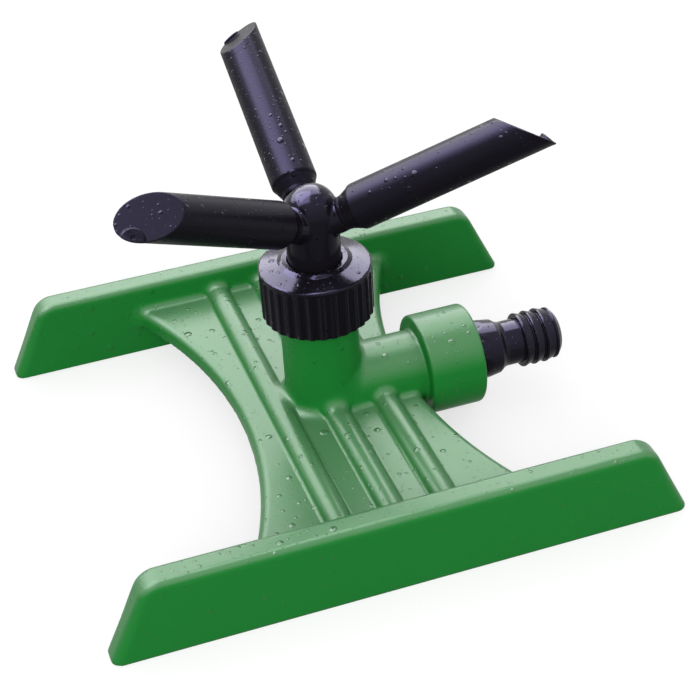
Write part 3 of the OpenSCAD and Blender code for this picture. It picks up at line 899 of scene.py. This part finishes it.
class SPRINKLER_OT_base(bpy.types.Operator):
    """Skins the green base moulding with its fillets and rounded edges"""

    bl_idname = "sprinkler.base_moulding"
    bl_label = "Base Moulding"

    def execute(self, context):
        forms = context.scene.sprinkler_forms
        lo, hi = low("base"), high("base")
        piece = skin("base_moulding", base_field, forms, lo, hi, forms.skin_step / MM)
        fitted(piece, "stand", "green_plastic", "wet_green_plastic", "base")
        return {"FINISHED"}


class SPRINKLER_OT_hose_tail(bpy.types.Operator):
    """Skins the barbed hose tail"""

    bl_idname = "sprinkler.hose_tail"
    bl_label = "Hose Tail"

    def execute(self, context):
        forms = context.scene.sprinkler_forms
        lo, hi = low("inlet_nipple"), high("inlet_nipple")
        piece = skin("barbed_hose_tail", tail_field, forms, lo, hi, TAIL_GRID)
        fitted(piece, "stand", "black_plastic", "wet_black_plastic", "inlet_nipple")
        return {"FINISHED"}


class SPRINKLER_OT_nut(bpy.types.Operator):
    """Skins the fluted cap nut"""

    bl_idname = "sprinkler.fluted_nut"
    bl_label = "Fluted Nut"

    def execute(self, context):
        forms = context.scene.sprinkler_forms
        piece = skin("fluted_cap_nut", nut_field, forms, low("cap_nut"), high("cap_nut"), NUT_GRID)
        fitted(piece, "nut", "black_plastic", "wet_black_plastic", "cap_nut")
        return {"FINISHED"}


class SPRINKLER_OT_rotor(bpy.types.Operator):
    """Skins the domed stem and the three arms with their end caps"""

    bl_idname = "sprinkler.rotor"
    bl_label = "Rotor and Arms"

    def execute(self, context):
        forms = context.scene.sprinkler_forms
        stem = skin("domed_stem", stem_field, forms, low("rotor_hub"), high("rotor_hub"), ROTOR_GRID)
        fitted(stem, "rotor", "black_plastic", "wet_black_plastic", "rotor_hub")
        tip = (94.0, ARM_AROUND, ARM_AROUND)
        for i, body in enumerate(("first_arm", "second_arm", "third_arm")):
            place = arm_matrix(i)
            root = (SEAM_S, -ARM_AROUND, -ARM_AROUND)
            tube = skin(f"arm_tube_{i + 1}", arm_tube_field, forms, root, tip, ROTOR_GRID, place)
            fitted(tube, body, "black_plastic", "wet_arm_plastic", f"arm_{i + 1}")
            root = (70.0, -ARM_AROUND, -ARM_AROUND)
            end = skin(f"arm_end_{i + 1}", arm_end_field, forms, root, tip, CAP_GRID, place)
            fitted(end, body, "black_plastic", "wet_arm_plastic", f"arm_cap_{i + 1}")
        return {"FINISHED"}


class SPRINKLER_OT_inner_pieces(bpy.types.Operator):
    """Gives the seals, washers, bush and spindle their finishes"""

    bl_idname = "sprinkler.inner_pieces"
    bl_label = "Seals and Bearing"

    def execute(self, context):
        rubber = ["inlet_washer", "nut_gasket", "spindle_oring", "arm_seal_1", "arm_seal_2", "arm_seal_3"]
        for name in rubber:
            dress(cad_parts[name], "seal_rubber_finish")
        for name in ("tower_bush", "lower_thrust_washer", "upper_thrust_washer", "spindle"):
            dress(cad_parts[name], "bearing_plastic_finish")
        return {"FINISHED"}


# The studio


# Camera: angles in degrees, lengths in metres, focal length in millimetres
VIEW_AZ, VIEW_EL, VIEW_ROLL = 72.97, 35.2, -3.6
VIEW_TARGET = (0.0109, 0.00017, 0.03487)
VIEW_AWAY = 0.6437
SENSOR_W = 36.0
FOCAL = SENSOR_W * 1768.4 / 700
# Floor: half its width, its colour for bounced light, and what it adds where it is looked at
FLOOR_HALF = 4.0
FLOOR_TONE = 0.35
FLOOR_LIFT = 0.68
# Colours of the two panels that mirror in gloss
SHEEN_TINT = (0.96, 0.95, 1.0)
CROWN_TINT = (0.86, 0.83, 1.0)


def panel(name, at, aim_z, size, glow, colour=(1, 1, 1), diffuse=True, glossy=True):
    """A soft rectangular lamp of a given brightness, aimed at the object's axis."""
    width, height = size
    lamp = bpy.data.lights.new(name, "AREA")
    lamp.shape = "RECTANGLE"
    lamp.size, lamp.size_y = width, height
    lamp.energy = glow * math.pi * width * height
    lamp.color = colour
    made = bpy.data.objects.new(name, lamp)
    made.location = at
    aim = Vector((0, 0, aim_z)) - Vector(at)
    made.rotation_euler = aim.to_track_quat("-Z", "Y").to_euler()
    made.visible_diffuse = diffuse
    made.visible_glossy = glossy
    bpy.context.scene.collection.objects.link(made)
    return made


def seen_directly(tree):
    """One for camera, mirror and see-through rays, which show the white room."""
    path = knot(tree, "ShaderNodeLightPath", -800, 200).outputs
    seen = math_knot(tree, "ADD", -600, 200, path["Is Camera Ray"], path["Is Glossy Ray"], clamp=True)
    return math_knot(tree, "ADD", -400, 200, seen, path["Is Transmission Ray"], clamp=True)


def lay_floor(scene):
    """Lays the paper floor just below the object. It keeps the object's shadow."""
    mesh = bpy.data.meshes.new("studio_floor")
    s = FLOOR_HALF
    mesh.from_pydata([(-s, -s, 0), (s, -s, 0), (s, s, 0), (-s, s, 0)], [], [(0, 1, 2, 3)])
    floor = bpy.data.objects.new("studio_floor", mesh)
    scene.collection.objects.link(floor)
    floor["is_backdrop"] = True
    floor.location.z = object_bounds()[0].z - 0.00005
    paper = bpy.data.materials.new("white_paper")
    paper.use_nodes = True
    tree = paper.node_tree
    shader = tree.nodes["Principled BSDF"]
    shader.inputs["Base Color"].default_value = (*[FLOOR_TONE] * 3, 1)
    shader.inputs["Roughness"].default_value = 0.9
    shader.inputs["Specular IOR Level"].default_value = 0.0
    shader.inputs["Emission Color"].default_value = (1, 1, 1, 1)
    lift = math_knot(tree, "MULTIPLY", 0, -300, seen_directly(tree), FLOOR_LIFT)
    tree.links.new(lift, shader.inputs["Emission Strength"])
    mesh.materials.append(paper)


def hang_lamps(studio):
    """Hangs the two panels that only mirror in gloss and the three that light the object."""
    sheen = studio.sheen_glow
    crown = sheen * 1.05
    panel("sheen_panel", (-0.2, 1.0, 1.45), 0.05, (3.1, 2.2), sheen, SHEEN_TINT, diffuse=False)
    panel("crown_panel", (-0.7, 0.3, 1.65), 0.05, (1.9, 1.7), crown, CROWN_TINT, diffuse=False)
    panel("back_panel", (0.33, 1.22, 0.99), 0.03, (1.5, 1.1), studio.back_glow)
    panel("top_panel", (-0.35, -0.1, 1.6), 0.03, (1.5, 1.5), studio.top_glow)
    panel("front_panel", (-0.55, -1.25, 0.75), 0.04, (1.2, 0.9), studio.front_glow, glossy=False)


def build_room(scene, studio):
    """Makes the world: a soft room for the light, plain white where it is looked at."""
    world = bpy.data.worlds.new("studio_room")
    scene.world = world
    world.use_nodes = True
    tree = world.node_tree
    tree.nodes.clear()
    out = knot(tree, "ShaderNodeOutputWorld", 600, 0)
    room = knot(tree, "ShaderNodeBackground", 200, 0, Color=(1, 1, 1, 1), Strength=studio.room_glow)
    white = knot(tree, "ShaderNodeBackground", 200, -200, Color=(1, 1, 1, 1), Strength=1.0)
    mix = knot(tree, "ShaderNodeMixShader", 400, 0)
    tree.links.new(seen_directly(tree), mix.inputs[0])
    tree.links.new(room.outputs[0], mix.inputs[1])
    tree.links.new(white.outputs[0], mix.inputs[2])
    tree.links.new(mix.outputs[0], out.inputs["Surface"])


def set_camera(scene):
    """Sets the camera from its angles round the target."""
    az, el, roll = math.radians(VIEW_AZ), math.radians(VIEW_EL), math.radians(VIEW_ROLL)
    ahead = Vector((math.cos(az) * math.cos(el), math.sin(az) * math.cos(el), -math.sin(el)))
    right = Vector((math.sin(az), -math.cos(az), 0))
    up = right.cross(ahead)
    right, up = (math.cos(roll) * right + math.sin(roll) * up, math.cos(roll) * up - math.sin(roll) * right)
    eye = Vector(VIEW_TARGET) - ahead * VIEW_AWAY
    lens = bpy.data.cameras.new("camera")
    lens.sensor_width = SENSOR_W
    lens.lens = FOCAL
    lens.clip_start, lens.clip_end = 0.01, 20
    camera = bpy.data.objects.new("camera", lens)
    camera.matrix_world = Matrix((
        (right.x, up.x, -ahead.x, eye.x),
        (right.y, up.y, -ahead.y, eye.y),
        (right.z, up.z, -ahead.z, eye.z),
        (0, 0, 0, 1)))
    scene.collection.objects.link(camera)
    scene.camera = camera


class SPRINKLER_OT_studio(bpy.types.Operator):
    """Sets the pale floor, the soft lamps, the room and the camera"""

    bl_idname = "sprinkler.studio"
    bl_label = "Studio"

    def execute(self, context):
        scene = context.scene
        lay_floor(scene)
        hang_lamps(scene.sprinkler_studio)
        build_room(scene, scene.sprinkler_studio)
        set_camera(scene)
        scene.view_settings.view_transform = "Standard"
        return {"FINISHED"}


# Panel and registration


class SPRINKLER_PT_panel(bpy.types.Panel):
    """Lists the sprinkler's pieces and their settings"""

    bl_label = "Lawn Sprinkler"
    bl_idname = "SPRINKLER_PT_panel"
    bl_space_type = "VIEW_3D"
    bl_region_type = "UI"
    bl_category = "Sprinkler"

    def draw(self, context):
        column = self.layout.column()
        for step in STEPS:
            column.operator(step.bl_idname)
        scene = context.scene
        for group in (scene.sprinkler_plastic, scene.sprinkler_forms, scene.sprinkler_studio):
            box = self.layout.box()
            for name in group.__annotations__:
                box.prop(group, name)


STEPS = (
    SPRINKLER_OT_base,
    SPRINKLER_OT_hose_tail,
    SPRINKLER_OT_nut,
    SPRINKLER_OT_rotor,
    SPRINKLER_OT_inner_pieces,
    SPRINKLER_OT_studio,
)
GROUPS = (SprinklerPlastic, SprinklerForms, SprinklerStudio)


def register():
    for cls in (*GROUPS, *STEPS, SPRINKLER_PT_panel):
        bpy.utils.register_class(cls)
    bpy.types.Scene.sprinkler_plastic = bpy.props.PointerProperty(type=SprinklerPlastic)
    bpy.types.Scene.sprinkler_forms = bpy.props.PointerProperty(type=SprinklerForms)
    bpy.types.Scene.sprinkler_studio = bpy.props.PointerProperty(type=SprinklerStudio)


def unregister():
    del bpy.types.Scene.sprinkler_studio
    del bpy.types.Scene.sprinkler_forms
    del bpy.types.Scene.sprinkler_plastic
    for cls in reversed((*GROUPS, *STEPS, SPRINKLER_PT_panel)):
        bpy.utils.unregister_class(cls)


def main():
    """Registers the add-on and makes every piece and the studio."""
    register()
    bpy.ops.sprinkler.base_moulding()
    bpy.ops.sprinkler.hose_tail()
    bpy.ops.sprinkler.fluted_nut()
    bpy.ops.sprinkler.rotor()
    bpy.ops.sprinkler.inner_pieces()
    bpy.ops.sprinkler.studio()
    bpy.context.view_layer.update()


if __name__ == "__main__":
    main()
